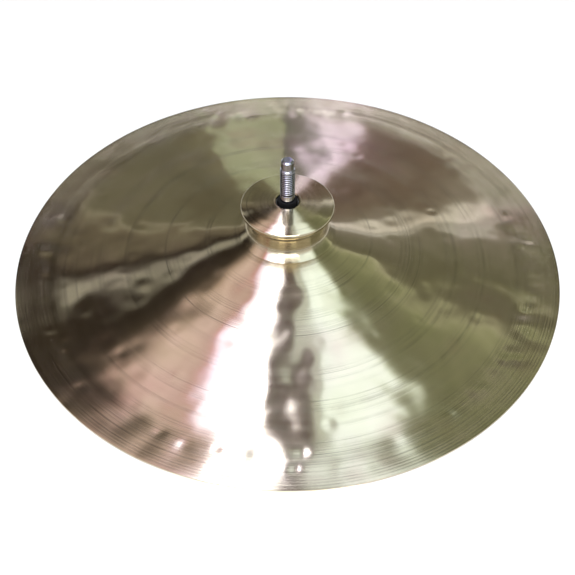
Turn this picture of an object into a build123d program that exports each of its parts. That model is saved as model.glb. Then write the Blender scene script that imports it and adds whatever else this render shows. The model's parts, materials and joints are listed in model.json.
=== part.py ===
"""Twelve-inch china-type crash cymbal on the tilter that carries it.

A bronze plate with a mushroom-shaped bell and a flattened edge hangs loosely on a nylon-sleeved
M8 rod. The rod stands in a die-cast head that tilts in a fork, is clamped by a bolt and a wing nut,
and the fork sits on a short steel tube that slides into the stand. Millimetres and degrees, +Z up
along the rod, origin on the tube's axis at the lower face of the fork, where the stand's clamp stops.
"""

import os
from math import cos, radians, tan

from build123d import *

# ---- Clearances -----------------------------------------------------------------------------
running_clearance = 0.08    # radial, between a shaft and the bore that turns on it
static_clearance = 0.02     # radial, between pieces that are screwed or pressed together
face_clearance = 0.1        # between flat faces that slide on each other
felt_clearance = 0.15       # between the felt and the metal above and below it

# ---- Cymbal plate ---------------------------------------------------------------------------
cymbal_diameter = 304.8
plate_thickness = 1.0
hole_clearance = 0.82       # radial, between the hole's edge and the sleeve
crown_slope = 5.0           # fall of the bell's top from the hole outwards
crown_edge_radius = 19.0    # where the bell's top starts to fall faster
crown_edge_slope = 11.0
crown_edge_round = 25.0
bell_height = 21.3          # edge of the hole above the crease at the bell's foot
lip_radius = 25.6           # widest radius of the bell's top
lip_depth = 2.4             # height of the upright band round the lip
lip_round = 1.6
lip_under_round = 1.6
undercut_depth = 4.2        # from the lip down to where the neck is straight
undercut_round = 6.0
neck_radius = 21.6
neck_round = 5.0
foot_radius = 26.5          # radius of the crease between bell and bow
foot_height = 3.2           # height of the flared foot above the crease
crease_round = 2.5
bow_inner_slope = 13.5
bow_outer_slope = 8.8
bow_knee_radius = 62.0      # where the bow's slope eases
bow_knee_round = 180.0
flange_width = 24.4
flange_rise = 0.9           # height of the flattened edge's rim above the trough
trough_round = 60.0
edge_overrun = 2.0          # how far the plate is drawn past its two edges before they are cut

# ---- Threaded rod and what sits on it -------------------------------------------------------
rod_diameter = 8.0
rod_above_cymbal = 27.6
rod_in_head = 18.0
thread_length = 15.0        # the stretch that takes the upper nut
groove_width = 0.9          # runout groove at the foot of that thread
groove_depth = 0.7
pilot_step = 0.65           # radius lost at the plain tip that guides a nut on to the thread
pilot_length = 6.0
tip_chamfer = 0.8
sleeve_wall = 1.35
sleeve_above_cymbal = 1.5
sleeve_flange_width = 2.57
sleeve_flange_thickness = 1.5
sleeve_mouth_round = 0.4
felt_radius = 15.0
felt_thickness = 8.0
felt_edge_round = 1.2
washer_radius = 15.6
washer_thickness = 1.2
washer_flat_radius = 11.5
washer_dish = 1.5           # rise of the washer's rim
jam_nut_wall = 2.5          # from the rod to each flat
jam_nut_height = 5.0
jam_nut_corner_chamfer = 0.6

# ---- Tilter head ----------------------------------------------------------------------------
lug_radius = 9.5
lug_thickness = 8.0
boss_wall = 4.0
boss_gap = 1.5              # between the boss and the fork's ears
boss_height = 23.0
boss_round = 1.0
web_width = 13.0
grub_diameter = 5.0
grub_below_head_top = 10.0
grub_socket_across_flats = 2.5
grub_socket_depth = 2.0
grub_sink = 0.3             # how far the screw's outer end lies below the boss's skin

# ---- Tilter fork, bolt and wing nut ---------------------------------------------------------
disc_thickness = 1.2
disc_radius = 9.0
disc_bore_clearance = 0.3   # radial, between the bolt and the discs
ear_thickness = 5.0
ear_chamfer = 0.6
deck_radius = 13.0
deck_edge = 2.5
deck_cone = 5.0
lug_to_deck = 3.5
collar_radius = 11.0
collar_height = 25.0
bolt_diameter = 6.0
bolt_head_width = 2.0       # from the shank to each flat
bolt_head_height = 4.0
bolt_past_nut = 3.0
bolt_tip_chamfer = 0.6
nut_washer_width = 4.0
nut_washer_thickness = 1.2
nut_hub_wall = 3.2
nut_hub_tip_wall = 1.8
nut_hub_height = 9.0
wing_reach = 17.0
wing_height = 15.0
wing_tip_width = 5.5
wing_tip_depth = 6.0
wing_root_height = 1.2
wing_thickness = 2.8
wing_round = 2.2
wing_edge_round = 0.7

# ---- Stand tube -----------------------------------------------------------------------------
tube_diameter = 16.0
tube_wall = 1.5
tube_free_length = 70.0
tube_neck_reduction = 0.6   # radius lost where the tube is swaged to fit the fork
tube_neck_length = 20.0
tube_chamfer = 0.5
plug_length = 12.0
plug_dimple_depth = 1.2
plug_dimple_radius = 4.0
pin_diameter = 3.0
pin_wall = 0.6
pin_slit = 0.7
pin_sink = 0.2              # how far each end of the pin lies below the collar's skin
pin_below_neck_end = 10.0

# ---- Derived radii and heights --------------------------------------------------------------
rod_radius = rod_diameter / 2
pilot_radius = rod_radius - pilot_step
boss_radius = rod_radius + boss_wall
jam_nut_flat_radius = rod_radius + jam_nut_wall
cymbal_radius = cymbal_diameter / 2
sleeve_bore_radius = rod_radius + running_clearance
sleeve_radius = sleeve_bore_radius + sleeve_wall
sleeve_flange_radius = sleeve_radius + sleeve_flange_width
hole_radius = sleeve_radius + hole_clearance
felt_bore_radius = sleeve_radius + felt_clearance
bolt_radius = bolt_diameter / 2
bolt_head_flat_radius = bolt_radius + bolt_head_width
disc_bore_radius = bolt_radius + disc_bore_clearance
nut_washer_radius = bolt_radius + nut_washer_width
nut_hub_radius = bolt_radius + nut_hub_wall
nut_hub_tip_radius = bolt_radius + nut_hub_tip_wall
tube_radius = tube_diameter / 2
tube_neck_radius = tube_radius - tube_neck_reduction
ear_inner = lug_thickness / 2 + disc_thickness + 2 * face_clearance
ear_outer = ear_inner + ear_thickness

deck_z = collar_height
pivot_z = deck_z + lug_to_deck + lug_radius
boss_bottom_z = pivot_z + lug_radius + boss_gap
head_top_z = boss_bottom_z + boss_height
nut_top_z = head_top_z + jam_nut_height
washer_bottom_z = nut_top_z + sleeve_flange_thickness + face_clearance
felt_bottom_z = washer_bottom_z + washer_thickness + face_clearance
felt_top_z = felt_bottom_z + felt_thickness
crown_z = felt_top_z + felt_clearance + plate_thickness / cos(radians(crown_slope))
rod_top_z = crown_z + rod_above_cymbal
pin_z = tube_neck_length - pin_below_neck_end


def fall(run, slope):
    """Drop of a line of that slope over a horizontal run."""
    return run * tan(radians(slope))


def revolve_profile(*points):
    """Turns a closed outline, given as (radius, height) points, about the Z axis."""
    with BuildSketch(Plane.XZ) as half_section:
        with BuildLine():
            Polyline(*points, close=True)
        make_face()
    revolve(half_section.sketch, axis=Axis.Z)


# ---- Cymbal: one plate whose upper outline runs from the hole to the rim --------------------
crown_edge_z = crown_z - fall(crown_edge_radius - hole_radius, crown_slope)
lip_z = crown_edge_z - fall(lip_radius - crown_edge_radius, crown_edge_slope)
crease_z = crown_z - bell_height
knee_z = crease_z - fall(bow_knee_radius - foot_radius, bow_inner_slope)
trough_radius = cymbal_radius - flange_width
trough_z = knee_z - fall(trough_radius - bow_knee_radius, bow_outer_slope)
rim_z = trough_z + flange_rise

rim_slope_rise = edge_overrun * flange_rise / flange_width
cymbal_outline = [
    (hole_radius - edge_overrun, crown_z + fall(edge_overrun, crown_slope)),
    (crown_edge_radius, crown_edge_z),
    (lip_radius, lip_z),
    (lip_radius, lip_z - lip_depth),
    (neck_radius, lip_z - lip_depth - undercut_depth),
    (neck_radius, crease_z + foot_height),
    (foot_radius, crease_z),
    (bow_knee_radius, knee_z),
    (trough_radius, trough_z),
    (cymbal_radius + edge_overrun, rim_z + rim_slope_rise),
]
cymbal_rounds = [
    crown_edge_round,
    lip_round,
    lip_under_round,
    undercut_round,
    neck_round,
    crease_round,
    bow_knee_round,
    trough_round,
]

with BuildPart() as cymbal:
    with BuildSketch(Plane.XZ):
        with BuildLine():
            upper = FilletPolyline(*cymbal_outline, radius=cymbal_rounds)
            offset(upper, amount=plate_thickness, side=Side.RIGHT, closed=True)
        make_face()
    revolve(axis=Axis.Z)
    with BuildSketch(Plane.XY.offset(crown_z + plate_thickness)):
        Circle(cymbal_radius)
        Circle(hole_radius, mode=Mode.SUBTRACT)
    extrude(amount=-2 * (crown_z - trough_z), mode=Mode.INTERSECT)
cymbal.part.label = "cymbal"

# ---- Rod: plain shank, runout groove, thread, and a plain pilot tip -------------------------
thread_top_z = rod_top_z - pilot_length
thread_foot_z = thread_top_z - thread_length
groove_radius = rod_radius - groove_depth

with BuildPart() as threaded_rod:
    revolve_profile(
        (0, head_top_z - rod_in_head),
        (rod_radius, head_top_z - rod_in_head),
        (rod_radius, thread_foot_z - groove_width),
        (groove_radius, thread_foot_z - groove_width),
        (groove_radius, thread_foot_z),
        (rod_radius, thread_foot_z),
        (rod_radius, thread_top_z),
        (pilot_radius, thread_top_z + (rod_radius - pilot_radius)),
        (pilot_radius, rod_top_z - tip_chamfer),
        (pilot_radius - tip_chamfer, rod_top_z),
        (0, rod_top_z),
    )
threaded_rod.part.label = "threaded_rod"

# ---- Nylon sleeve with a foot flange, so that the cymbal never touches the thread -----------
flange_top_z = nut_top_z + sleeve_flange_thickness

with BuildPart() as rod_sleeve:
    revolve_profile(
        (sleeve_bore_radius, nut_top_z),
        (sleeve_flange_radius, nut_top_z),
        (sleeve_flange_radius, flange_top_z),
        (sleeve_radius, flange_top_z),
        (sleeve_radius, crown_z + sleeve_above_cymbal),
        (sleeve_bore_radius, crown_z + sleeve_above_cymbal),
    )
    mouth_edges = rod_sleeve.edges().group_by(Axis.Z)[-1].sort_by(SortBy.RADIUS)
    fillet(mouth_edges[-1], sleeve_mouth_round)
rod_sleeve.part.label = "rod_sleeve"

# ---- Dished steel washer --------------------------------------------------------------------
washer_bore_radius = sleeve_radius + felt_clearance

with BuildPart() as cup_washer:
    revolve_profile(
        (washer_bore_radius, washer_bottom_z),
        (washer_flat_radius, washer_bottom_z),
        (washer_radius, washer_bottom_z + washer_dish),
        (washer_radius, washer_bottom_z + washer_dish + washer_thickness),
        (washer_flat_radius, washer_bottom_z + washer_thickness),
        (washer_bore_radius, washer_bottom_z + washer_thickness),
    )
cup_washer.part.label = "cup_washer"

# ---- Felt: its lower edge follows the dish and its top follows the bell's crown -------------
dish_slope_rise = washer_dish * (felt_radius - washer_flat_radius) / (washer_radius - washer_flat_radius)

with BuildPart() as lower_felt:
    revolve_profile(
        (felt_bore_radius, felt_bottom_z),
        (washer_flat_radius, felt_bottom_z),
        (felt_radius, felt_bottom_z + dish_slope_rise),
        (felt_radius, felt_top_z - fall(felt_radius - hole_radius, crown_slope)),
        (hole_radius, felt_top_z),
        (felt_bore_radius, felt_top_z),
    )
    widest_edges = lower_felt.edges().filter_by(GeomType.CIRCLE).sort_by(SortBy.RADIUS)[-2:]
    fillet(widest_edges.sort_by(Axis.Z)[-1], felt_edge_round)
lower_felt.part.label = "lower_felt"

# ---- Hexagon nut that locks the rod in the head ---------------------------------------------
jam_nut_corner_radius = jam_nut_flat_radius / cos(radians(30))

with BuildPart() as rod_jam_nut:
    with BuildSketch(Plane.XY.offset(head_top_z)):
        RegularPolygon(jam_nut_flat_radius, 6, major_radius=False)
        Circle(rod_radius + static_clearance, mode=Mode.SUBTRACT)
    extrude(amount=jam_nut_height)
    with BuildSketch(Plane.XZ):
        with BuildLine():
            Polyline(
                (0, head_top_z),
                (jam_nut_corner_radius, head_top_z),
                (jam_nut_corner_radius, nut_top_z - jam_nut_corner_chamfer),
                (jam_nut_corner_radius - 2 * jam_nut_corner_chamfer, nut_top_z),
                (0, nut_top_z),
                close=True,
            )
        make_face()
    revolve(axis=Axis.Z, mode=Mode.INTERSECT)
rod_jam_nut.part.label = "rod_jam_nut"

# ---- Tilter head: a lug between the fork's ears, and a boss that holds the rod --------------
grub_z = head_top_z - grub_below_head_top
grub_radius = grub_diameter / 2

with BuildPart() as tilter_head:
    with BuildSketch(Plane.XZ):
        with Locations((0, pivot_z)):
            Circle(lug_radius)
            Rectangle(web_width, boss_bottom_z - pivot_z, align=(Align.CENTER, Align.MIN))
    extrude(amount=lug_thickness / 2, both=True)
    with BuildSketch(Plane.XY.offset(boss_bottom_z)):
        Circle(boss_radius)
    extrude(amount=boss_height)
    fillet(tilter_head.edges().group_by(Axis.Z)[-1], boss_round)
    with BuildSketch(Plane.XZ):
        with Locations((0, pivot_z)):
            Circle(bolt_radius + running_clearance)
    extrude(amount=lug_thickness, both=True, mode=Mode.SUBTRACT)
    with BuildSketch(Plane.XY.offset(head_top_z)):
        Circle(rod_radius + static_clearance)
    extrude(amount=-rod_in_head, mode=Mode.SUBTRACT)
    with BuildSketch(Plane.YZ):
        with Locations((0, grub_z)):
            Circle(grub_radius + static_clearance)
    extrude(amount=boss_radius, mode=Mode.SUBTRACT)
tilter_head.part.label = "tilter_head"

# ---- Grub screw that bears on the rod -------------------------------------------------------
grub_tip_x = rod_radius + static_clearance
grub_end_x = boss_radius - grub_sink

with BuildPart() as rod_grub_screw:
    with BuildSketch(Plane.YZ.offset(grub_tip_x)):
        with Locations((0, grub_z)):
            Circle(grub_radius)
    extrude(amount=grub_end_x - grub_tip_x)
    with BuildSketch(Plane.YZ.offset(grub_end_x)):
        with Locations((0, grub_z)):
            RegularPolygon(grub_socket_across_flats / 2, 6, major_radius=False)
    extrude(amount=-grub_socket_depth, mode=Mode.SUBTRACT)
rod_grub_screw.part.label = "rod_grub_screw"

# ---- Fibre discs between the lug and the ears -----------------------------------------------
with BuildPart() as friction_discs:
    for side in (-1, 1):
        inner_y = side * (lug_thickness / 2 + face_clearance)
        with BuildSketch(Plane.XZ.offset(-inner_y)):
            with Locations((0, pivot_z)):
                Circle(disc_radius)
                Circle(disc_bore_radius, mode=Mode.SUBTRACT)
        extrude(amount=-side * disc_thickness)
friction_discs.part.label = "friction_discs"

# ---- Fork: a socketed collar that widens to a deck with two ears ----------------------------
ear_height = pivot_z - deck_z

with BuildPart() as tilter_fork:
    revolve_profile(
        (0, 0),
        (collar_radius, 0),
        (collar_radius, deck_z - deck_edge - deck_cone),
        (deck_radius, deck_z - deck_edge),
        (deck_radius, deck_z),
        (0, deck_z),
    )
    with BuildSketch(Plane.XZ):
        with Locations((0, pivot_z)):
            Circle(lug_radius)
            Rectangle(2 * lug_radius, ear_height, align=(Align.CENTER, Align.MAX))
    extrude(amount=ear_outer, both=True)
    with BuildSketch():
        Circle(deck_radius)
    extrude(amount=pivot_z + lug_radius, mode=Mode.INTERSECT)
    ear_faces = tilter_fork.faces().filter_by(Axis.Y).sort_by(Axis.Y)
    for ear_face in (ear_faces[0], ear_faces[-1]):
        chamfer(ear_face.edges().filter_by(GeomType.CIRCLE), ear_chamfer)
    with BuildSketch(Plane.XY.offset(deck_z)):
        Rectangle(2 * deck_radius, 2 * ear_inner)
    extrude(amount=ear_height + lug_radius, mode=Mode.SUBTRACT)
    with BuildSketch(Plane.XZ):
        with Locations((0, pivot_z)):
            Circle(bolt_radius + running_clearance)
    extrude(amount=ear_outer, both=True, mode=Mode.SUBTRACT)
    with BuildSketch():
        Circle(tube_neck_radius + static_clearance)
    extrude(amount=tube_neck_length, mode=Mode.SUBTRACT)
    with BuildSketch(Plane.YZ):
        with Locations((0, pin_z)):
            Circle(pin_diameter / 2 + static_clearance)
    extrude(amount=collar_radius, both=True, mode=Mode.SUBTRACT)
tilter_fork.part.label = "tilter_fork"

# ---- Pivot bolt: hexagon head on the -Y side, wing nut on the +Y side -----------------------
nut_washer_y = ear_outer + face_clearance
nut_seat_y = nut_washer_y + nut_washer_thickness + face_clearance
bolt_end_y = nut_seat_y + nut_hub_height + bolt_past_nut

with BuildPart() as pivot_bolt:
    with BuildSketch(Plane.XZ.offset(ear_outer)):
        with Locations((0, pivot_z)):
            RegularPolygon(bolt_head_flat_radius, 6, major_radius=False)
    extrude(amount=bolt_head_height)
    with BuildSketch(Plane.XZ.offset(ear_outer)):
        with Locations((0, pivot_z)):
            Circle(bolt_radius)
    extrude(amount=-(ear_outer + bolt_end_y))
    chamfer(pivot_bolt.edges().group_by(Axis.Y)[-1], bolt_tip_chamfer)
pivot_bolt.part.label = "pivot_bolt"

with BuildPart() as wing_nut_washer:
    with BuildSketch(Plane.XZ.offset(-nut_washer_y)):
        with Locations((0, pivot_z)):
            Circle(nut_washer_radius)
            Circle(bolt_radius + running_clearance, mode=Mode.SUBTRACT)
    extrude(amount=-nut_washer_thickness)
wing_nut_washer.part.label = "wing_nut_washer"

# ---- Wing nut: a tapered hub and two raised wings -------------------------------------------
wing_crotch_height = nut_hub_height - wing_root_height
wing_outline = [
    (0, wing_root_height),
    (nut_hub_radius, wing_root_height),
    (wing_reach, wing_height - wing_tip_depth),
    (wing_reach, wing_height),
    (wing_reach - wing_tip_width, wing_height),
    (nut_hub_tip_radius, wing_crotch_height),
    (0, wing_crotch_height),
]

with BuildPart() as tilter_wing_nut:
    with BuildSketch(Plane.XY.offset(pivot_z)):
        with BuildLine():
            Polyline(*[(x, nut_seat_y + y) for x, y in wing_outline], close=True)
        make_face()
        tip_corners = vertices().sort_by(Axis.X)[-3:]
        fillet(tip_corners, wing_round)
        mirror(about=Plane.YZ)
    extrude(amount=wing_thickness / 2, both=True)
    fillet(tilter_wing_nut.edges().filter_by(Plane.XY), wing_edge_round)
    hub_axis = Axis((0, 0, pivot_z), (0, 1, 0))
    with BuildSketch(Plane.XY.offset(pivot_z)):
        with BuildLine():
            Polyline(
                (0, nut_seat_y),
                (nut_hub_radius, nut_seat_y),
                (nut_hub_tip_radius, nut_seat_y + nut_hub_height),
                (0, nut_seat_y + nut_hub_height),
                close=True,
            )
        make_face()
    revolve(axis=hub_axis)
    with BuildSketch(Plane.XZ.offset(-nut_seat_y)):
        with Locations((0, pivot_z)):
            Circle(bolt_radius + running_clearance)
    extrude(amount=-nut_hub_height, mode=Mode.SUBTRACT)
tilter_wing_nut.part.label = "tilter_wing_nut"

# ---- Stand tube, its plug and the spring pin that holds it in the fork ----------------------
tube_bore_radius = tube_radius - tube_wall
neck_bore_radius = tube_neck_radius - tube_wall
tube_foot_z = -tube_free_length

with BuildPart() as stand_tube:
    revolve_profile(
        (tube_bore_radius, tube_foot_z),
        (tube_radius - tube_chamfer, tube_foot_z),
        (tube_radius, tube_foot_z + tube_chamfer),
        (tube_radius, 0),
        (tube_neck_radius, 0),
        (tube_neck_radius, tube_neck_length),
        (neck_bore_radius, tube_neck_length),
        (neck_bore_radius, -tube_wall),
        (tube_bore_radius, -2 * tube_wall),
    )
    with BuildSketch(Plane.YZ):
        with Locations((0, pin_z)):
            Circle(pin_diameter / 2 + static_clearance)
    extrude(amount=tube_radius, both=True, mode=Mode.SUBTRACT)
stand_tube.part.label = "stand_tube"

with BuildPart() as tube_plug:
    revolve_profile(
        (0, tube_foot_z + plug_dimple_depth),
        (plug_dimple_radius - plug_dimple_depth, tube_foot_z + plug_dimple_depth),
        (plug_dimple_radius, tube_foot_z),
        (tube_bore_radius - static_clearance, tube_foot_z),
        (tube_bore_radius - static_clearance, tube_foot_z + plug_length),
        (0, tube_foot_z + plug_length),
    )
tube_plug.part.label = "tube_plug"

with BuildPart() as tube_roll_pin:
    with BuildSketch(Plane.YZ):
        with Locations((0, pin_z)):
            Circle(pin_diameter / 2)
            Circle(pin_diameter / 2 - pin_wall, mode=Mode.SUBTRACT)
            Rectangle(pin_slit, pin_diameter, align=(Align.CENTER, Align.MIN), mode=Mode.SUBTRACT)
    extrude(amount=collar_radius - pin_sink, both=True)
tube_roll_pin.part.label = "tube_roll_pin"

# ---- One STEP file for each piece -----------------------------------------------------------
os.makedirs("parts", exist_ok=True)
pieces = [
    cymbal,
    threaded_rod,
    rod_sleeve,
    lower_felt,
    cup_washer,
    rod_jam_nut,
    tilter_head,
    rod_grub_screw,
    friction_discs,
    tilter_fork,
    pivot_bolt,
    wing_nut_washer,
    tilter_wing_nut,
    stand_tube,
    tube_plug,
    tube_roll_pin,
]
for piece in pieces:
    export_step(piece.part, f"parts/{piece.part.label}.step")
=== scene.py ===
"""China-type crash cymbal on its tilter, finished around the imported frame.

Everything is in metres, +Z runs up the threaded rod and the camera stands on the -Y side. The plate, the rod
and the felt are new surfaces; the other pieces keep the frame's own shape and get rounded edges and a finish.
"""
import json
import math

import bpy
import numpy as np
from mathutils import Matrix, Vector


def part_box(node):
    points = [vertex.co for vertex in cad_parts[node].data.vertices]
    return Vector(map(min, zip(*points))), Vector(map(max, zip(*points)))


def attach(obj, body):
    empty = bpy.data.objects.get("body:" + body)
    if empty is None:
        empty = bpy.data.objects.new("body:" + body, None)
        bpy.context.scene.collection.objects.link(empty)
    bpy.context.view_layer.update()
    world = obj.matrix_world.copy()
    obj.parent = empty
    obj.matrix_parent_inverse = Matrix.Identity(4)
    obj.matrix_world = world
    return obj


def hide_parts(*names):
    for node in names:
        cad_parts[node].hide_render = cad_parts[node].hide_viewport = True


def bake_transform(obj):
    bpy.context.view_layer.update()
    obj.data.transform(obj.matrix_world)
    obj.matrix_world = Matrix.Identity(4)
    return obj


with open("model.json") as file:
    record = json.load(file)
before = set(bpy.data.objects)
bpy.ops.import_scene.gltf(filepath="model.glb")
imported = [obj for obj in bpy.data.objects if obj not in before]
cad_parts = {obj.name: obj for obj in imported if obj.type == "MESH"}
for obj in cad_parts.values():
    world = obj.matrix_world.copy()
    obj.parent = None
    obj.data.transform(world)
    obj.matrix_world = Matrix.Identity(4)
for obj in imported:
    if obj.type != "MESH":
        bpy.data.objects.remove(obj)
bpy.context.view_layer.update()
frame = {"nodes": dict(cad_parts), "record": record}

MM = 0.001
TURN = 2 * math.pi

# ---- Sizes that the frame's boxes don't give ------------------------------------------------
HOLE_RADIUS = 6.25 * MM
PLATE_THICKNESS = 1.0 * MM
CROWN_SLOPE = math.radians(5)
CROWN_EDGE_RADIUS = 19.0 * MM
CROWN_EDGE_SLOPE = math.radians(11)
BELL_HEIGHT = 21.3 * MM
LIP_RADIUS = 25.6 * MM
LIP_DEPTH = 2.4 * MM
UNDERCUT_DEPTH = 4.2 * MM
NECK_RADIUS = 21.6 * MM
FOOT_RADIUS = 26.5 * MM
FOOT_HEIGHT = 3.2 * MM
KNEE_RADIUS = 62.0 * MM
BOW_INNER_SLOPE = math.radians(13.5)
BOW_OUTER_SLOPE = math.radians(8.8)
FLANGE_WIDTH = 24.4 * MM
FLANGE_RISE = 0.9 * MM
PLATE_ROUNDS = np.array([25.0, 1.6, 1.6, 6.0, 5.0, 2.5, 180.0, 60.0]) * MM

THREAD_LENGTH = 15.0 * MM
THREAD_PITCH = 1.25 * MM
THREAD_DEPTH = 0.68 * MM
GROOVE_WIDTH = 0.9 * MM
GROOVE_DEPTH = 0.7 * MM
PILOT_RADIUS = 3.35 * MM
PILOT_LENGTH = 6.0 * MM
TIP_CHAMFER = 0.8 * MM

FELT_BORE = 5.58 * MM

CYMBAL_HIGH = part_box("cymbal")[1]
CROWN_Z = CYMBAL_HIGH.z
RIM_RADIUS = CYMBAL_HIGH.x
TROUGH_RADIUS = RIM_RADIUS - FLANGE_WIDTH

SHARP_EDGE = math.radians(40)
BEVELLED_EDGE = math.radians(35)
WELD_REACH = 0.004 * MM
HAMMERING_SEED = 43
FELT_SEED = 7


# ---- Numbers and surfaces -------------------------------------------------------------------
def smooth_step(value, low, high):
    """0 below low, 1 above high, and 3t^2 - 2t^3 between them, where t is the share of the way."""
    share = np.clip((value - low) / (high - low), 0, 1)
    return share * share * (3 - 2 * share)


def rounded_outline(corners, rounds, longest_step, arc_turn=math.radians(9)):
    """Straight runs between corners, each inner corner replaced by the arc of its radius that touches both runs.

    Runs are cut into equal steps no longer than longest_step, and arcs into turns of about arc_turn.
    """
    corners = np.asarray(corners, float)
    path = [corners[0]]

    def run_to(end):
        start = path[-1]
        steps = max(1, math.ceil(np.linalg.norm(end - start) / longest_step))
        path.extend(start + (end - start) * share for share in np.linspace(0, 1, steps + 1)[1:])

    for before, corner, after, radius in zip(corners, corners[1:], corners[2:], rounds):
        back = (before - corner) / np.linalg.norm(before - corner)
        ahead = (after - corner) / np.linalg.norm(after - corner)
        half = math.acos(np.clip(back @ ahead, -1, 1)) / 2
        reach = radius / math.tan(half)
        middle = corner + (back + ahead) / np.linalg.norm(back + ahead) * radius / math.sin(half)
        first, last = corner + back * reach - middle, corner + ahead * reach - middle
        turn = math.atan2(first[0] * last[1] - first[1] * last[0], first @ last)
        run_to(middle + first)
        steps = max(3, math.ceil(abs(turn) / arc_turn), math.ceil(abs(turn) * radius / longest_step))
        angles = np.linspace(0, turn, steps + 1)[1:]
        cos, sin = np.cos(angles), np.sin(angles)
        path.extend(np.stack([first[0] * cos - first[1] * sin, first[0] * sin + first[1] * cos], 1) + middle)
    run_to(corners[-1])
    return np.array(path)


def outline_normals(path):
    """Unit normals to the left of a path, from the chord between each point's two neighbours."""
    along = np.gradient(path, axis=0)
    normals = np.stack([-along[:, 1], along[:, 0]], 1)
    return normals / np.linalg.norm(normals, axis=1, keepdims=True)


def grid_faces(rows, columns, closed_rows=False):
    """Quads of a grid whose columns close on themselves, and whose rows do too if closed_rows is true."""
    first = np.arange(rows if closed_rows else rows - 1)
    row, column = np.meshgrid(first, np.arange(columns), indexing="ij")
    above, right = (row + 1) % rows, (column + 1) % columns
    corners = [row * columns + column, row * columns + right, above * columns + right, above * columns + column]
    return np.stack(corners, -1).reshape(-1, 4)


def mesh_piece(name, points, quads, caps=()):
    """An object at the origin with these points, quads and many-sided end caps, smooth except at sharp edges."""
    mesh = bpy.data.meshes.new(name)
    faces = quads.tolist() + [list(cap) for cap in caps]
    mesh.from_pydata(points.reshape(-1, 3).tolist(), [], faces)
    mesh.polygons.foreach_set("use_smooth", np.ones(len(faces), bool))
    mesh.update()
    mesh.set_sharp_from_angle(angle=SHARP_EDGE)
    piece = bpy.data.objects.new(name, mesh)
    bpy.context.collection.objects.link(piece)
    return piece


def around(radius, height, columns):
    """Points (r cos a, r sin a, z) for every row of radius and height and every angle a.

    A radius may also be a whole grid, one number for each row and angle.
    """
    angle = np.linspace(0, TURN, columns, endpoint=False)[None, :]
    radius = radius if np.ndim(radius) == 2 else np.asarray(radius)[:, None]
    radius = np.broadcast_to(radius, (len(radius), columns))
    height = np.broadcast_to(np.asarray(height)[:, None], radius.shape)
    return np.stack([radius * np.cos(angle), radius * np.sin(angle), height], -1)


def turned_piece(name, radius, height, columns):
    """A closed solid whose rows run up the Z axis and whose two end rings are capped flat."""
    points = around(radius, height, columns)
    rows = points.shape[0]
    bottom = list(range(columns))[::-1]
    top = list(range((rows - 1) * columns, rows * columns))
    return mesh_piece(name, points, grid_faces(rows, columns), [bottom, top])


# ---- Plate ----------------------------------------------------------------------------------
def plate_outline():
    """(radius, height) corners of the plate's upper face from the hole to the rim, all worked out from its sizes."""
    crown_edge_z = CROWN_Z - (CROWN_EDGE_RADIUS - HOLE_RADIUS) * math.tan(CROWN_SLOPE)
    lip_z = crown_edge_z - (LIP_RADIUS - CROWN_EDGE_RADIUS) * math.tan(CROWN_EDGE_SLOPE)
    crease_z = CROWN_Z - BELL_HEIGHT
    knee_z = crease_z - (KNEE_RADIUS - FOOT_RADIUS) * math.tan(BOW_INNER_SLOPE)
    trough_z = knee_z - (TROUGH_RADIUS - KNEE_RADIUS) * math.tan(BOW_OUTER_SLOPE)
    return [
        (HOLE_RADIUS, CROWN_Z),
        (CROWN_EDGE_RADIUS, crown_edge_z),
        (LIP_RADIUS, lip_z),
        (LIP_RADIUS, lip_z - LIP_DEPTH),
        (NECK_RADIUS, lip_z - LIP_DEPTH - UNDERCUT_DEPTH),
        (NECK_RADIUS, crease_z + FOOT_HEIGHT),
        (FOOT_RADIUS, crease_z),
        (KNEE_RADIUS, knee_z),
        (TROUGH_RADIUS, trough_z),
        (RIM_RADIUS, trough_z + FLANGE_RISE),
    ]


def hammering(x, y):
    """Height of the hammered skin: a sum of round dents, depth * exp(-d^2 / 2w^2), seen from above at (x, y).

    Broad and narrow dents lie all over the bow, a few deeper ones in loose rings, and the edge itself waves slowly.
    """
    rng = np.random.default_rng(HAMMERING_SEED)
    kinds = [  # how many dents, inner and outer radius, width, deepest
        (150, 0.034, 0.128, 0.0105, 0.00018),
        (300, 0.040, 0.146, 0.0052, 0.00012),
        (700, 0.036, 0.150, 0.0028, 0.00005),
        (46, 0.132, 0.141, 0.0017, 0.00014),
        (18, 0.082, 0.120, 0.0022, 0.00013),
    ]
    height = np.zeros_like(x)
    for count, inner, outer, width, deepest in kinds:
        angles = rng.uniform(0, TURN, count)
        radii = np.sqrt(rng.uniform(inner ** 2, outer ** 2, count))
        widths = width * rng.uniform(0.75, 1.3, count)
        depths = deepest * rng.uniform(0.3, 1.0, count)
        for angle, radius, spread, depth in zip(angles, radii, widths, depths):
            away = (x - radius * math.cos(angle)) ** 2 + (y - radius * math.sin(angle)) ** 2
            height -= depth * np.exp(-away / (2 * spread ** 2))
    around_axis, radius = np.arctan2(y, x), np.hypot(x, y)
    for waves, size in ((2, 0.00022), (3, 0.00016), (5, 0.00009), (7, 0.00005)):
        height += size * np.sin(waves * around_axis + rng.uniform(0, TURN)) * (radius / RIM_RADIUS) ** 2
    return height * smooth_step(radius, FOOT_RADIUS + 2 * MM, FOOT_RADIUS + 16 * MM)


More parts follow.
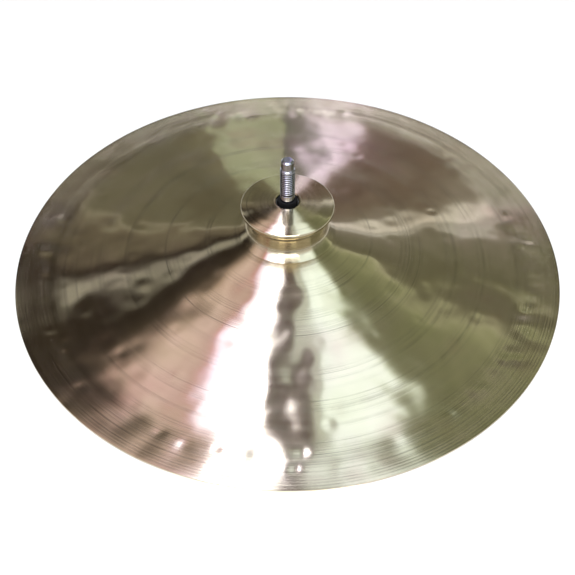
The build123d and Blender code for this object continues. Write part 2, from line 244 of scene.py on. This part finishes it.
def cymbal_plate(columns=500):
    """The plate: its upper outline, a rounded rim, a lower face one thickness away and a bevelled hole, turned about Z.

    Each ring then moves up or down with the hammering, both faces alike because the plate is thin.
    """
    upper = rounded_outline(plate_outline(), PLATE_ROUNDS, 1.45 * MM)
    normals = outline_normals(upper)
    lower = (upper - normals * PLATE_THICKNESS)[::-3]
    half = PLATE_THICKNESS / 2
    rim_turn = np.radians([-60, -20, 20, 60])[:, None]
    rim_along = np.array([normals[-1][1], -normals[-1][0]])
    rim_middle = upper[-1] - normals[-1] * half
    rim = rim_middle + half * (np.cos(rim_turn) * rim_along * 0.5 - np.sin(rim_turn) * normals[-1])
    rim -= rim_along * half * 0.5
    hole = lower[-1] + (upper[0] - lower[-1]) * np.array([[0.12], [0.42]])
    bevel = upper[0] + np.array([[0.02, -0.42], [0.2, -0.2]]) * MM
    upper[0] += np.array([0.5, -0.045]) * MM
    section = np.vstack([upper[:-1], rim, lower, hole, bevel])
    section[:, 0] = np.minimum(section[:, 0], RIM_RADIUS)
    points = around(section[:, 0], section[:, 1], columns)
    points[..., 2] += hammering(points[..., 0], points[..., 1])
    quads = grid_faces(len(section), columns, closed_rows=True)[:, ::-1]
    return mesh_piece("cymbal_plate", points, quads)


# ---- Rod and felt ---------------------------------------------------------------------------
def threaded_rows(rows_z, columns, core, crest, pitch, low, high):
    """Radii of a right-hand thread: crest minus a rounded V whose phase is z / pitch - angle / turn.

    The thread fades into the plain radius over one pitch at each end.
    """
    angle = np.linspace(0, TURN, columns, endpoint=False)[None, :]
    z = rows_z[:, None]
    phase = np.mod(z / pitch - angle / TURN, 1.0)
    flank = np.abs(2 * phase - 1)
    groove = 1 - smooth_step(flank, 0.1, 0.9)
    fade = smooth_step(z, low, low + 0.5 * pitch) * (1 - smooth_step(z, high - pitch, high))
    return crest - (crest - core) * groove * fade


def hanging_rod():
    """The rod: plain shank, runout groove, rolled thread, chamfer, plain pilot and chamfered tip."""
    low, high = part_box("threaded_rod")
    crest = high.x
    tip = high.z
    thread_top = tip - PILOT_LENGTH
    thread_foot = thread_top - THREAD_LENGTH
    rows_per_pitch = 12
    thread_z = np.linspace(thread_foot, thread_top, int(THREAD_LENGTH / THREAD_PITCH * rows_per_pitch))
    columns = 64
    thread = threaded_rows(thread_z, columns, crest - THREAD_DEPTH, crest, THREAD_PITCH, thread_foot, thread_top)
    chamfer = crest - PILOT_RADIUS
    shank = rounded_outline(
        [(crest - 0.5 * MM, low.z), (crest, low.z + 0.5 * MM), (crest, thread_foot - GROOVE_WIDTH - 0.25 * MM),
         (crest - GROOVE_DEPTH, thread_foot - GROOVE_WIDTH), (crest - GROOVE_DEPTH, thread_foot - 0.3 * MM)],
        np.array([0.1, 0.12, 0.2]) * MM, 4 * MM)
    pilot = rounded_outline(
        [(crest - 0.25 * chamfer, thread_top + 0.2 * MM), (PILOT_RADIUS, thread_top + chamfer + 0.2 * MM),
         (PILOT_RADIUS, tip - TIP_CHAMFER), (PILOT_RADIUS - TIP_CHAMFER, tip), (0.3 * MM, tip)],
        np.array([0.2, 0.25, 0.25]) * MM, 1.5 * MM)
    rows = [np.repeat(shank[:, :1], columns, 1), thread, np.repeat(pilot[:, :1], columns, 1)]
    heights = np.concatenate([shank[:, 1], thread_z, pilot[:, 1]])
    return turned_piece("rod", np.vstack(rows), heights, columns)


def felt_washer(columns=120):
    """The felt: the frame's own outline with barrelled sides, and a skin pushed about by soft random waves.

    The bore bellies out as a half sine over its height, so that it stays off the sleeve when the plate rocks.
    """
    low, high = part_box("lower_felt")
    outer = high.x
    rise = (outer - HOLE_RADIUS) * math.tan(CROWN_SLOPE)
    gap = 0.12 * MM
    outline = rounded_outline(
        [(FELT_BORE + 0.3 * MM, high.z - gap), (HOLE_RADIUS, high.z - gap), (outer, high.z - rise - gap),
         (outer + 0.5 * MM, (low.z + high.z) / 2), (outer - 0.2 * MM, low.z + 1.4 * MM), (11.3 * MM, low.z + gap),
         (FELT_BORE + 0.1 * MM, low.z + gap)],
        np.array([0.2, 1.4, 6.0, 1.2, 2.0]) * MM, 0.7 * MM)
    share = np.linspace(0, 1, 12)[1:-1]
    bore_radius = FELT_BORE + 0.1 * MM + 0.45 * MM * np.sin(math.pi * share ** 0.8) + 0.2 * MM * share
    bore = np.stack([bore_radius, low.z + gap + share * (high.z - low.z - 2 * gap)], 1)
    section = np.vstack([outline, bore])
    points = around(section[:, 0], section[:, 1], columns)
    rng = np.random.default_rng(FELT_SEED)
    angle = np.linspace(0, TURN, columns, endpoint=False)[None, :]
    tall = section[:, 1:]
    waves = 14
    counts, climbs = rng.integers(5, 40, waves), rng.uniform(-2500, 2500, waves)
    starts = rng.uniform(0, TURN, waves)
    wave = sum(np.sin(count * angle + tall * climb + start) for count, climb, start in zip(counts, climbs, starts))
    side = smooth_step(section[:, 0], outer - 2 * MM, outer)[:, None]
    push = wave * 0.035 * MM * side
    points[..., 0] += push * np.cos(angle)
    points[..., 1] += push * np.sin(angle)
    quads = grid_faces(len(section), columns, closed_rows=True)[:, ::-1]
    return mesh_piece("felt_washer", points, quads)


# ---- Shader helpers -------------------------------------------------------------------------
def add_node(tree, kind, inputs=None, **settings):
    """A shader node with its settings, and each input either linked from a socket or given a value."""
    node = tree.nodes.new("ShaderNode" + kind)
    for name, value in settings.items():
        setattr(node, name, value)
    for key, value in (inputs or {}).items():
        if isinstance(value, bpy.types.NodeSocket):
            tree.links.new(value, node.inputs[key])
        else:
            node.inputs[key].default_value = value
    return node


def math_node(tree, operation, *values, clamp=False):
    """The result of one Math node."""
    return add_node(tree, "Math", dict(enumerate(values)), operation=operation, use_clamp=clamp).outputs[0]


def map_range(tree, value, low, high, to_low=0.0, to_high=1.0):
    """The value's way from low to high, held within them and stretched to run from to_low to to_high."""
    inputs = {"Value": value, "From Min": low, "From Max": high, "To Min": to_low, "To Max": to_high}
    return add_node(tree, "MapRange", inputs).outputs[0]


def mix_colour(tree, share, first, second, blend_type="MIX"):
    """The colour between first and second at share."""
    node = add_node(tree, "Mix", {"Factor": share}, data_type="RGBA", blend_type=blend_type)
    for socket, value in ((node.inputs[6], first), (node.inputs[7], second)):
        if isinstance(value, bpy.types.NodeSocket):
            tree.links.new(value, socket)
        else:
            socket.default_value = value
    return node.outputs[2]


def ramp(tree, value, stops):
    """A colour ramp with (place, colour) stops; grey stops may be plain numbers."""
    node = add_node(tree, "ValToRGB", {"Fac": value})
    elements = node.color_ramp.elements
    while len(elements) < len(stops):
        elements.new(0.5)
    for element, (place, colour) in zip(elements, stops):
        element.position = place
        element.color = colour if isinstance(colour, tuple) else (colour, colour, colour, 1)
    return node.outputs["Color"]


def new_group(name, inputs, outputs):
    """An empty node group with named sockets: floats for numbers, vectors for triples and colours for fours."""
    tree = bpy.data.node_groups.new(name, "ShaderNodeTree")
    for direction, sockets in (("INPUT", inputs), ("OUTPUT", outputs)):
        for label, default in sockets.items():
            size = len(default) if isinstance(default, tuple) else 1
            kind = {1: "NodeSocketFloat", 3: "NodeSocketVector", 4: "NodeSocketColor"}[size]
            socket = tree.interface.new_socket(name=label, in_out=direction, socket_type=kind)
            if direction == "INPUT":
                socket.default_value = default
    return tree, tree.nodes.new("NodeGroupInput").outputs, tree.nodes.new("NodeGroupOutput").inputs


def use_group(tree, group, inputs=None):
    """Places a node group in a material and returns its outputs."""
    node = tree.nodes.new("ShaderNodeGroup")
    node.node_tree = group
    for key, value in (inputs or {}).items():
        if isinstance(value, bpy.types.NodeSocket):
            tree.links.new(value, node.inputs[key])
        else:
            node.inputs[key].default_value = value
    return node.outputs


# ---- Effects shared by several finishes -----------------------------------------------------
def turned_lines_group():
    """Concentric tool marks: noise that changes fast with the distance from Z and slowly round it, in two pitches."""
    tree, given, result = new_group(
        "turned_lines", {"Vector": (0.0, 0.0, 0.0), "Fine Pitch": 0.0006, "Coarse Pitch": 0.004, "Unevenness": 0.6},
        {"Fine": 0.0, "Coarse": 0.0, "Radius": 0.0})
    axes = add_node(tree, "SeparateXYZ", {0: given["Vector"]}).outputs
    flat = add_node(tree, "CombineXYZ", {0: axes[0], 1: axes[1], 2: 0.0}).outputs[0]
    radius = add_node(tree, "VectorMath", {0: flat}, operation="LENGTH").outputs["Value"]
    round_axis = add_node(tree, "VectorMath", {0: flat}, operation="NORMALIZE").outputs["Vector"]
    slow = add_node(tree, "VectorMath", {0: round_axis, "Scale": given["Unevenness"]}, operation="SCALE").outputs
    slow_axes = add_node(tree, "SeparateXYZ", {0: slow["Vector"]}).outputs
    for label, pitch in (("Fine", given["Fine Pitch"]), ("Coarse", given["Coarse Pitch"])):
        rings = math_node(tree, "DIVIDE", radius, pitch)
        place = add_node(tree, "CombineXYZ", {0: rings, 1: slow_axes[0], 2: slow_axes[1]}).outputs[0]
        noise = add_node(tree, "TexNoise", {"Vector": place, "Scale": 1.0, "Detail": 2.0, "Roughness": 0.6})
        tree.links.new(noise.outputs["Fac"], result[label])
    tree.links.new(radius, result["Radius"])
    return tree


def grain_group():
    """Even grain: noise of one size, and a second, wider noise as a mask of where it is strong."""
    tree, given, result = new_group(
        "grain", {"Vector": (0.0, 0.0, 0.0), "Size": 0.0005, "Patch Size": 0.01}, {"Grain": 0.0, "Patches": 0.0})
    for label, size, detail in (("Grain", given["Size"], 4.0), ("Patches", given["Patch Size"], 3.0)):
        inputs = {"Vector": given["Vector"], "Scale": math_node(tree, "DIVIDE", 1.0, size), "Detail": detail}
        noise = add_node(tree, "TexNoise", {**inputs, "Roughness": 0.6})
        tree.links.new(noise.outputs["Fac"], result[label])
    return tree


def edge_wear_group():
    """Where edges stand out: the surface's pointiness past a threshold, broken up by a fine noise."""
    tree, given, result = new_group(
        "edge_wear", {"Vector": (0.0, 0.0, 0.0), "Reach": 0.06, "Amount": 1.0}, {"Mask": 0.0})
    pointed = add_node(tree, "NewGeometry").outputs["Pointiness"]
    above = math_node(tree, "SUBTRACT", pointed, 0.51)
    share = math_node(tree, "DIVIDE", above, given["Reach"], clamp=True)
    noise = add_node(tree, "TexNoise", {"Vector": given["Vector"], "Scale": 900.0, "Detail": 3.0}).outputs["Fac"]
    broken = math_node(tree, "MULTIPLY", share, math_node(tree, "ADD", noise, 0.4))
    tree.links.new(math_node(tree, "MULTIPLY", broken, given["Amount"], clamp=True), result["Mask"])
    return tree


TURNED_LINES = turned_lines_group()
GRAIN = grain_group()
EDGE_WEAR = edge_wear_group()


# ---- Finishes -------------------------------------------------------------------------------
def new_material(name, **constants):
    """A material with one Principled shader whose sockets named in constants hold those values."""
    material = bpy.data.materials.new(name)
    material.use_nodes = True
    shader = material.node_tree.nodes["Principled BSDF"]
    for label, value in constants.items():
        shader.inputs[label.replace("_", " ")].default_value = value
    place = add_node(material.node_tree, "TexCoord").outputs["Object"]
    return material, material.node_tree, shader.inputs, place


def set_bump(tree, shader, height, distance, strength=1.0, under=None):
    """Feeds a height through a Bump node into the shader's normal, on top of an earlier bump if there is one."""
    inputs = {"Height": height, "Distance": distance, "Strength": strength}
    if under is not None:
        inputs["Normal"] = under
    normal = add_node(tree, "Bump", inputs).outputs["Normal"]
    tree.links.new(normal, shader["Normal"])
    return normal


def bronze_finish():
    """Lathed, hammered and buffed bronze: gloss stretched across the tool marks, tinted patches, grooves in groups."""
    material, tree, shader, place = new_material(
        "lathed_bronze", Metallic=1.0, Anisotropic=1.0, Anisotropic_Rotation=0.25)
    lines = use_group(
        tree, TURNED_LINES, {"Vector": place, "Fine Pitch": 0.75 * MM, "Coarse Pitch": 8 * MM, "Unevenness": 0.12})
    patches = use_group(tree, GRAIN, {"Vector": place, "Size": 14 * MM, "Patch Size": 60 * MM})
    tint = ramp(tree, patches["Patches"], [
        (0.30, (0.54, 0.46, 0.31, 1)), (0.47, (0.61, 0.54, 0.38, 1)),
        (0.60, (0.65, 0.56, 0.42, 1)), (0.75, (0.62, 0.48, 0.38, 1))])
    edge_band = map_range(tree, lines["Radius"], 0.83 * RIM_RADIUS, 0.87 * RIM_RADIUS)
    groups = math_node(tree, "MAXIMUM", ramp(tree, lines["Coarse"], [(0.50, 0.0), (0.58, 1.0)]), edge_band)
    fading = ramp(tree, patches["Grain"], [(0.38, 0.25), (0.6, 1.0)])
    cut = math_node(tree, "MULTIPLY", groups, fading)
    shade = ramp(tree, lines["Fine"], [(0.38, 0.66), (0.47, 0.88), (0.56, 1.0)])
    colour = mix_colour(tree, cut, tint, mix_colour(tree, 1.0, tint, shade, "MULTIPLY"))
    tree.links.new(colour, shader["Base Color"])
    tree.links.new(map_range(tree, lines["Coarse"], 0.3, 0.7, 0.11, 0.17), shader["Roughness"])
    tangent = add_node(tree, "Tangent", direction_type="RADIAL", axis="Z").outputs[0]
    tree.links.new(tangent, shader["Tangent"])
    set_bump(tree, shader, math_node(tree, "MULTIPLY", lines["Fine"], groups), 0.03 * MM)
    return material


def plated_finish(name, colour, roughness, grain_size, grain_depth, wear_colour=(0.60, 0.58, 0.54, 1)):
    """Bright plating over a casting or a machined piece: faint orange peel, haze in patches, edges rubbed thin."""
    material, tree, shader, place = new_material(name, Metallic=1.0)
    grain = use_group(tree, GRAIN, {"Vector": place, "Size": grain_size, "Patch Size": 9 * MM})
    wear = use_group(tree, EDGE_WEAR, {"Vector": place, "Amount": 0.7})
    tree.links.new(mix_colour(tree, wear["Mask"], colour, wear_colour), shader["Base Color"])
    haze = map_range(tree, grain["Patches"], 0.35, 0.65, roughness * 0.7, roughness * 1.5)
    tree.links.new(haze, shader["Roughness"])
    set_bump(tree, shader, grain["Grain"], grain_depth)
    return material


def rod_finish(crest):
    """The rod's rolled steel: plated like the rest, with painted shade darkening the thread's roots and the groove to
    near black.
    """
    material = plated_finish("rolled_steel", (0.36, 0.36, 0.42, 1), 0.12, 0.8 * MM, 0.004 * MM)
    tree = material.node_tree
    shader = tree.nodes["Principled BSDF"].inputs
    place = add_node(tree, "TexCoord").outputs["Object"]
    axes = add_node(tree, "SeparateXYZ", {0: place}).outputs
    squares = [math_node(tree, "POWER", axis, 2.0) for axis in axes[:2]]
    away = math_node(tree, "SQRT", math_node(tree, "ADD", *squares))
    # Painted shade mask: no plain plated colour in the thread's roots and the runout groove, rising to all of it at the
    # crests.
    unshaded_share = map_range(tree, away, crest - 0.42 * MM, crest - 0.03 * MM)
    on_thread = math_node(tree, "LESS_THAN", axes[2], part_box("threaded_rod")[1].z - PILOT_LENGTH)
    share = math_node(tree, "MAXIMUM", unshaded_share, math_node(tree, "SUBTRACT", 1.0, on_thread))
    unshaded_colour = shader["Base Color"].links[0].from_socket
    # Painted shade: the roots and the groove take a near-black colour where shadow falls in them.
    tree.links.new(mix_colour(tree, share, (0.015, 0.014, 0.02, 1), unshaded_colour), shader["Base Color"])
    return material


def turned_steel_finish(name, colour, roughness, about_y=False):
    """Bright steel faced on a lathe or stamped from strip: fine rings about its own axis over a soft sheen."""
    material, tree, shader, place = new_material(name, Metallic=1.0)
    if about_y:
        onto_bolt = {"Location": (0, frame_pivot().z, 0), "Rotation": (math.pi / 2, 0, 0)}
        place = add_node(tree, "Mapping", {"Vector": place, **onto_bolt}).outputs[0]
    lines = use_group(
        tree, TURNED_LINES, {"Vector": place, "Fine Pitch": 0.12 * MM, "Coarse Pitch": 1.5 * MM, "Unevenness": 1.5})
    wear = use_group(tree, EDGE_WEAR, {"Vector": place, "Amount": 0.6})
    shaded = mix_colour(tree, 0.35, colour, ramp(tree, lines["Coarse"], [(0.3, 0.45), (0.7, 1.0)]), "MULTIPLY")
    tree.links.new(mix_colour(tree, wear["Mask"], shaded, (0.62, 0.62, 0.63, 1)), shader["Base Color"])
    rough = map_range(tree, lines["Fine"], 0.3, 0.7, roughness * 0.7, roughness * 1.4)
    tree.links.new(rough, shader["Roughness"])
    set_bump(tree, shader, lines["Fine"], 0.004 * MM)
    return material


def plastic_finish(name, colour, roughness, grain_size, specular=0.5):
    """Moulded plastic: spark-eroded grain, and edges a shade lighter where they have rubbed."""
    material, tree, shader, place = new_material(name, IOR=1.52, Specular_IOR_Level=specular)
    grain = use_group(tree, GRAIN, {"Vector": place, "Size": grain_size, "Patch Size": 4 * MM})
    wear = use_group(tree, EDGE_WEAR, {"Vector": place, "Amount": 0.5})
    lighter = tuple(min(1, part * 2.5 + 0.008) for part in colour[:3]) + (1,)
    tree.links.new(mix_colour(tree, wear["Mask"], colour, lighter), shader["Base Color"])
    rough = map_range(tree, grain["Patches"], 0.3, 0.7, roughness * 0.85, roughness * 1.2)
    tree.links.new(rough, shader["Roughness"])
    set_bump(tree, shader, grain["Grain"], 0.03 * MM)
    return material


def felt_finish():
    """Pressed wool: charcoal with paler fibres crossing at random, a soft sheen and a matted, fluffy skin."""
    material, tree, shader, place = new_material("wool_felt", Roughness=0.95, Sheen_Weight=0.5, Sheen_Roughness=0.5)
    grain = use_group(tree, GRAIN, {"Vector": place, "Size": 0.45 * MM, "Patch Size": 3 * MM})
    crossing = {"Vector": place, "Scale": 420.0, "Distortion": 14.0, "Detail": 3.0, "Detail Scale": 2.0}
    fibres = add_node(tree, "TexWave", crossing, wave_type="BANDS").outputs["Fac"]
    shade = mix_colour(tree, grain["Patches"], (0.035, 0.035, 0.038, 1), (0.085, 0.083, 0.082, 1))
    pale = math_node(tree, "MULTIPLY", ramp(tree, fibres, [(0.8, 0.0), (1.0, 1.0)]), grain["Grain"])
    tree.links.new(mix_colour(tree, pale, shade, (0.34, 0.33, 0.31, 1)), shader["Base Color"])
    height = math_node(tree, "ADD", math_node(tree, "MULTIPLY", fibres, 0.4), grain["Grain"])
    set_bump(tree, shader, height, 0.25 * MM)
    return material


def frame_pivot():
    """The tilt joint's place, on the axis of the pivot bolt."""
    joint = next(j for j in frame["record"]["behaviour"]["joints"] if j["name"] == "tilter_tilt")
    return Vector(joint["pos_m"])


# ---- Putting the pieces together ------------------------------------------------------------
def finish_frame_piece(node, material, edge_radius):
    """Gives a frame piece its finish and, through modifiers, joined faces and rounded edges."""
    piece = frame["nodes"][node]
    piece.data.materials.clear()
    piece.data.materials.append(material)
    weld = piece.modifiers.new("joined_faces", "WELD")
    weld.merge_threshold = WELD_REACH
    if edge_radius:
        bevel = piece.modifiers.new("rounded_edges", "BEVEL")
        bevel.width = edge_radius
        bevel.segments = 3
        bevel.limit_method = "ANGLE"
        bevel.angle_limit = BEVELLED_EDGE
        bevel.harden_normals = True
        bevel.use_clamp_overlap = True


plate = cymbal_plate()
plate.data.materials.append(bronze_finish())
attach(plate, "cymbal")
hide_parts("cymbal")

rod = hanging_rod()
rod.data.materials.append(rod_finish(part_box("threaded_rod")[1].x))
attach(rod, "head")
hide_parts("threaded_rod")

felt = felt_washer()
felt.data.materials.append(felt_finish())
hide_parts("lower_felt")
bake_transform(felt)

casting = plated_finish("plated_casting", (0.40, 0.41, 0.44, 1), 0.17, 2.2 * MM, 0.03 * MM)
zinc = plated_finish("zinc_plate", (0.38, 0.39, 0.43, 1), 0.24, 0.9 * MM, 0.008 * MM)
chrome = plated_finish("chrome_tube", (0.46, 0.47, 0.49, 1), 0.07, 5 * MM, 0.004 * MM)
spring_steel = plated_finish("spring_steel", (0.22, 0.21, 0.20, 1), 0.35, 0.4 * MM, 0.006 * MM)
black_steel = plated_finish("black_steel", (0.04, 0.04, 0.045, 1), 0.4, 0.4 * MM, 0.008 * MM)
flat_steel = turned_steel_finish("stamped_steel", (0.42, 0.42, 0.44, 1), 0.2)
side_steel = turned_steel_finish("stamped_steel_side", (0.42, 0.42, 0.44, 1), 0.22, about_y=True)
nylon = plastic_finish("black_nylon", (0.004, 0.004, 0.0045, 1), 0.85, 0.5 * MM, specular=0.12)
plug_plastic = plastic_finish("plug_plastic", (0.02, 0.02, 0.021, 1), 0.55, 0.8 * MM)
fibre = plastic_finish("red_fibre", (0.16, 0.032, 0.018, 1), 0.65, 0.6 * MM)

for node, material, edge_radius in (
    ("rod_sleeve", nylon, 0.0),
    ("cup_washer", flat_steel, 0.25 * MM),
    ("rod_jam_nut", zinc, 0.25 * MM),
    ("tilter_head", casting, 0.6 * MM),
    ("rod_grub_screw", black_steel, 0.15 * MM),
    ("friction_discs", fibre, 0.15 * MM),
    ("tilter_fork", casting, 0.5 * MM),
    ("pivot_bolt", zinc, 0.3 * MM),
    ("wing_nut_washer", side_steel, 0.2 * MM),
    ("tilter_wing_nut", casting, 0.3 * MM),
    ("stand_tube", chrome, 0.2 * MM),
    ("tube_plug", plug_plastic, 0.3 * MM),
    ("tube_roll_pin", spring_steel, 0.0),
):
    finish_frame_piece(node, material, edge_radius)


# ---- Floor, light and camera ----------------------------------------------------------------
# The camera stands 3.2 rim radii from the middle of the rim, 45 degrees above it.
RIM_Z = plate_outline()[-1][1]
VIEW_DISTANCE = 3.2 * RIM_RADIUS
VIEW_ELEVATION = math.radians(44.97)
LOOK_DOWN = math.radians(47.37)
LENS_MM = 53.3
SENSOR_MM = 36
TOWARDS_CAMERA = Vector((0, -math.cos(VIEW_ELEVATION), math.sin(VIEW_ELEVATION)))

KEY_PLACE = Vector((0, -1.5, 1.75))
KEY_SIZE = (1.6, 1.2)
KEY_WATTS = 34
DIAL_STRENGTH = 1.25
ROOM_GREY = 0.95
FLOOR_HALF = 40.0
FLOOR_DROP = 2.5 * RIM_RADIUS


def key_light():
    """A large soft source just over the camera: it lights the floor evenly and throws the shadow behind the plate."""
    data = bpy.data.lights.new("key_softbox", "AREA")
    data.shape = "RECTANGLE"
    data.size, data.size_y = KEY_SIZE
    data.energy = KEY_WATTS
    light = bpy.data.objects.new("key_softbox", data)
    bpy.context.collection.objects.link(light)
    back = (KEY_PLACE - Vector((0, 0, RIM_Z))).normalized()
    side = Vector((0, 0, 1)).cross(back).normalized()
    light.matrix_world = Matrix.Translation(KEY_PLACE) @ Matrix((side, back.cross(side), back)).transposed().to_4x4()
    light.visible_camera = False


# What surrounds the plate, as (azimuth, colour) round a dial: a surface that falls away towards an azimuth, 0 being the
# front and 90 the +X side, mirrors the camera's line of sight to that place on the dial.
LEFT_DIAL = (
    (-180, (0.22, 0.22, 0.23)), (-176, (0.24, 0.25, 0.23)), (-174, (0.46, 0.51, 0.40)), (-158, (0.50, 0.57, 0.44)),
    (-149, (0.40, 0.44, 0.34)), (-145, (0.23, 0.22, 0.16)), (-128, (0.18, 0.175, 0.13)), (-104, (0.17, 0.165, 0.125)),
    (-99, (0.20, 0.19, 0.15)), (-97, (0.40, 0.40, 0.35)), (-95, (0.24, 0.22, 0.18)), (-89, (0.17, 0.15, 0.12)),
    (-84, (0.035, 0.026, 0.02)), (-64, (0.035, 0.026, 0.02)), (-56, (0.10, 0.08, 0.065)), (-50, (0.62, 0.49, 0.46)),
    (-42, (1.05, 0.86, 0.90)), (-33, (0.85, 0.64, 0.68)), (-30, (0.95, 0.42, 0.42)), (-28.5, (1.7, 1.5, 2.3)),
    (-24, (2.6, 2.6, 3.6)), (-20.5, (6.0, 6.2, 7.8)), (-5, (6.0, 6.2, 7.8)), (-4, (0.75, 0.60, 0.90)),
    (-2, (0.13, 0.10, 0.11)), (0, (0.15, 0.12, 0.13)),
)
RIGHT_DIAL = (
    (0, (0.15, 0.12, 0.13)), (4.5, (0.14, 0.11, 0.11)), (6.5, (0.80, 0.88, 0.94)), (12, (0.74, 0.84, 0.86)),
    (15, (1.6, 1.9, 2.2)), (33, (1.6, 1.9, 2.1)), (37, (0.80, 0.94, 0.80)), (39, (0.29, 0.32, 0.23)),
    (48, (0.23, 0.25, 0.16)), (60, (0.29, 0.32, 0.20)), (65, (0.40, 0.44, 0.28)), (67, (0.75, 0.80, 0.60)),
    (69, (0.22, 0.22, 0.15)), (84, (0.20, 0.20, 0.155)), (91, (0.25, 0.24, 0.21)), (94, (0.70, 0.72, 0.76)),
    (96, (0.32, 0.32, 0.32)), (98, (0.90, 0.90, 0.95)), (101, (0.75, 0.75, 0.78)), (104, (0.26, 0.24, 0.22)),
    (118, (0.22, 0.18, 0.16)), (138, (0.21, 0.155, 0.145)), (145, (0.46, 0.37, 0.44)), (150, (0.95, 0.84, 1.18)),
    (163, (1.25, 1.16, 1.62)), (167, (0.62, 0.57, 0.78)), (170, (0.40, 0.38, 0.47)), (172, (0.25, 0.24, 0.26)),
    (180, (0.22, 0.22, 0.23)),
)
# One more band, on the left, that only the steep foot of the bow mirrors: azimuth, slope and half width in degrees.
LOW_BAND = (-76, 13.4, 6.0, (0.45, 0.45, 0.43))
# The bands keep their full strength up to the first slope, and are dimmed and mixed with grey by the second.
FADING_SLOPES = (36, 52)
RAGGED_AZIMUTH = 0.20


def dial_colour(tree):
    """The dial's colour for a direction d: with n halfway between d and the camera, the azimuth is atan2(n.x, -n.y).

    Two noises over n make the bands uneven in strength and ragged at their edges, as a crowded room is. Between the
    two FADING_SLOPES they turn into bands held down to 0.75, with 35% of a grey that depends on height mixed in.
    """
    direction = add_node(tree, "TexCoord").outputs["Generated"]
    halfway = add_node(tree, "VectorMath", {0: direction, 1: TOWARDS_CAMERA}, operation="ADD").outputs["Vector"]
    normal = add_node(tree, "VectorMath", {0: halfway}, operation="NORMALIZE").outputs["Vector"]
    axes = add_node(tree, "SeparateXYZ", {0: normal}).outputs
    azimuth = math_node(tree, "ARCTAN2", axes[0], math_node(tree, "MULTIPLY", axes[1], -1.0))
    slope = math_node(tree, "ARCCOSINE", axes[2])
    ragged = add_node(tree, "TexNoise", {"Vector": normal, "Scale": 26.0, "Detail": 3.0}).outputs["Fac"]
    shift = math_node(tree, "MULTIPLY", math_node(tree, "SUBTRACT", ragged, 0.5), RAGGED_AZIMUTH)
    shifted = math_node(tree, "ADD", azimuth, shift)
    half_turns = math_node(tree, "DIVIDE", shifted, math.pi)
    left_stops = [(1 + place / 180, colour + (1,)) for place, colour in LEFT_DIAL]
    right_stops = [(place / 180, colour + (1,)) for place, colour in RIGHT_DIAL]
    left = ramp(tree, math_node(tree, "ADD", half_turns, 1.0), left_stops)
    right = ramp(tree, half_turns, right_stops)
    bands = mix_colour(tree, math_node(tree, "GREATER_THAN", shifted, 0.0), left, right)
    low_azimuth, low_slope, low_width, low_colour = LOW_BAND
    off = math_node(tree, "ABSOLUTE", math_node(tree, "SUBTRACT", shifted, math.radians(low_azimuth)))
    inside = map_range(tree, off, math.radians(low_width), math.radians(low_width) * 0.4)
    steep = map_range(tree, slope, math.radians(low_slope - 1.5), math.radians(low_slope + 0.5))
    bands = mix_colour(tree, math_node(tree, "MULTIPLY", inside, steep), bands, low_colour + (1,))
    uneven = add_node(tree, "TexNoise", {"Vector": normal, "Scale": 9.0, "Detail": 4.0, "Roughness": 0.6})
    strength = ramp(tree, uneven.outputs["Fac"], [(0.32, 0.55), (0.68, 1.0)])
    bands = mix_colour(tree, 1.0, bands, strength, "MULTIPLY")
    tilted = map_range(tree, slope, *(math.radians(degrees) for degrees in FADING_SLOPES))
    height = add_node(tree, "SeparateXYZ", {0: direction}).outputs[2]
    plain = ramp(tree, height, [(0.0, 0.20), (0.25, 0.34), (0.6, 0.62), (1.0, 0.40)])
    dimmed = mix_colour(tree, 1.0, bands, (0.75, 0.75, 0.75, 1), "DARKEN")
    return mix_colour(tree, tilted, bands, mix_colour(tree, 0.65, plain, dimmed))


def studio_world():
    """The dial for whatever mirrors the surroundings, an even pale room for matt surfaces and for the camera.

    The dial is laid out for the front camera's direction alone, and isn't a plain studio's light.
    """
    world = bpy.data.worlds.new("studio")
    world.use_nodes = True
    tree = world.node_tree
    tree.nodes.clear()
    path = add_node(tree, "LightPath").outputs
    dial = add_node(tree, "Background", {"Color": dial_colour(tree), "Strength": DIAL_STRENGTH}).outputs[0]
    room = add_node(tree, "Background", {"Color": (1, 1, 1, 1), "Strength": ROOM_GREY}).outputs[0]
    both = add_node(tree, "MixShader", {0: path["Is Glossy Ray"], 1: room, 2: dial}).outputs[0]
    add_node(tree, "OutputWorld", {"Surface": both})
    bpy.context.scene.world = world


def pale_floor():
    """A wide flat sheet, matt and nearly white, below anything that the plate's edge reaches as it tilts or lifts."""
    z = frame_pivot().z - FLOOR_DROP
    signs = np.array([[-1, -1], [1, -1], [1, 1], [-1, 1]])
    corners = np.hstack([signs * FLOOR_HALF, np.full((4, 1), z)])
    floor = mesh_piece("floor", corners, np.array([[0, 1, 2, 3]]))
    material, tree, shader, place = new_material("paper", Roughness=0.9, Specular_IOR_Level=0.2)
    grain = use_group(tree, GRAIN, {"Vector": place, "Size": 2 * MM, "Patch Size": 400 * MM})
    white = mix_colour(tree, grain["Patches"], (0.90, 0.90, 0.90, 1), (0.93, 0.93, 0.93, 1))
    tree.links.new(white, shader["Base Color"])
    floor.data.materials.append(material)


def front_camera():
    """The camera, above and in front of the plate, tipped down a little past the rim's middle."""
    data = bpy.data.cameras.new("camera")
    data.lens = LENS_MM
    data.sensor_width = SENSOR_MM
    camera = bpy.data.objects.new("camera", data)
    bpy.context.collection.objects.link(camera)
    camera.location = Vector((0, 0, RIM_Z)) + TOWARDS_CAMERA * VIEW_DISTANCE
    camera.rotation_euler = (math.pi / 2 - LOOK_DOWN, 0, 0)
    bpy.context.scene.camera = camera


key_light()
studio_world()
pale_floor()
front_camera()
bpy.context.scene.view_settings.view_transform = "Standard"
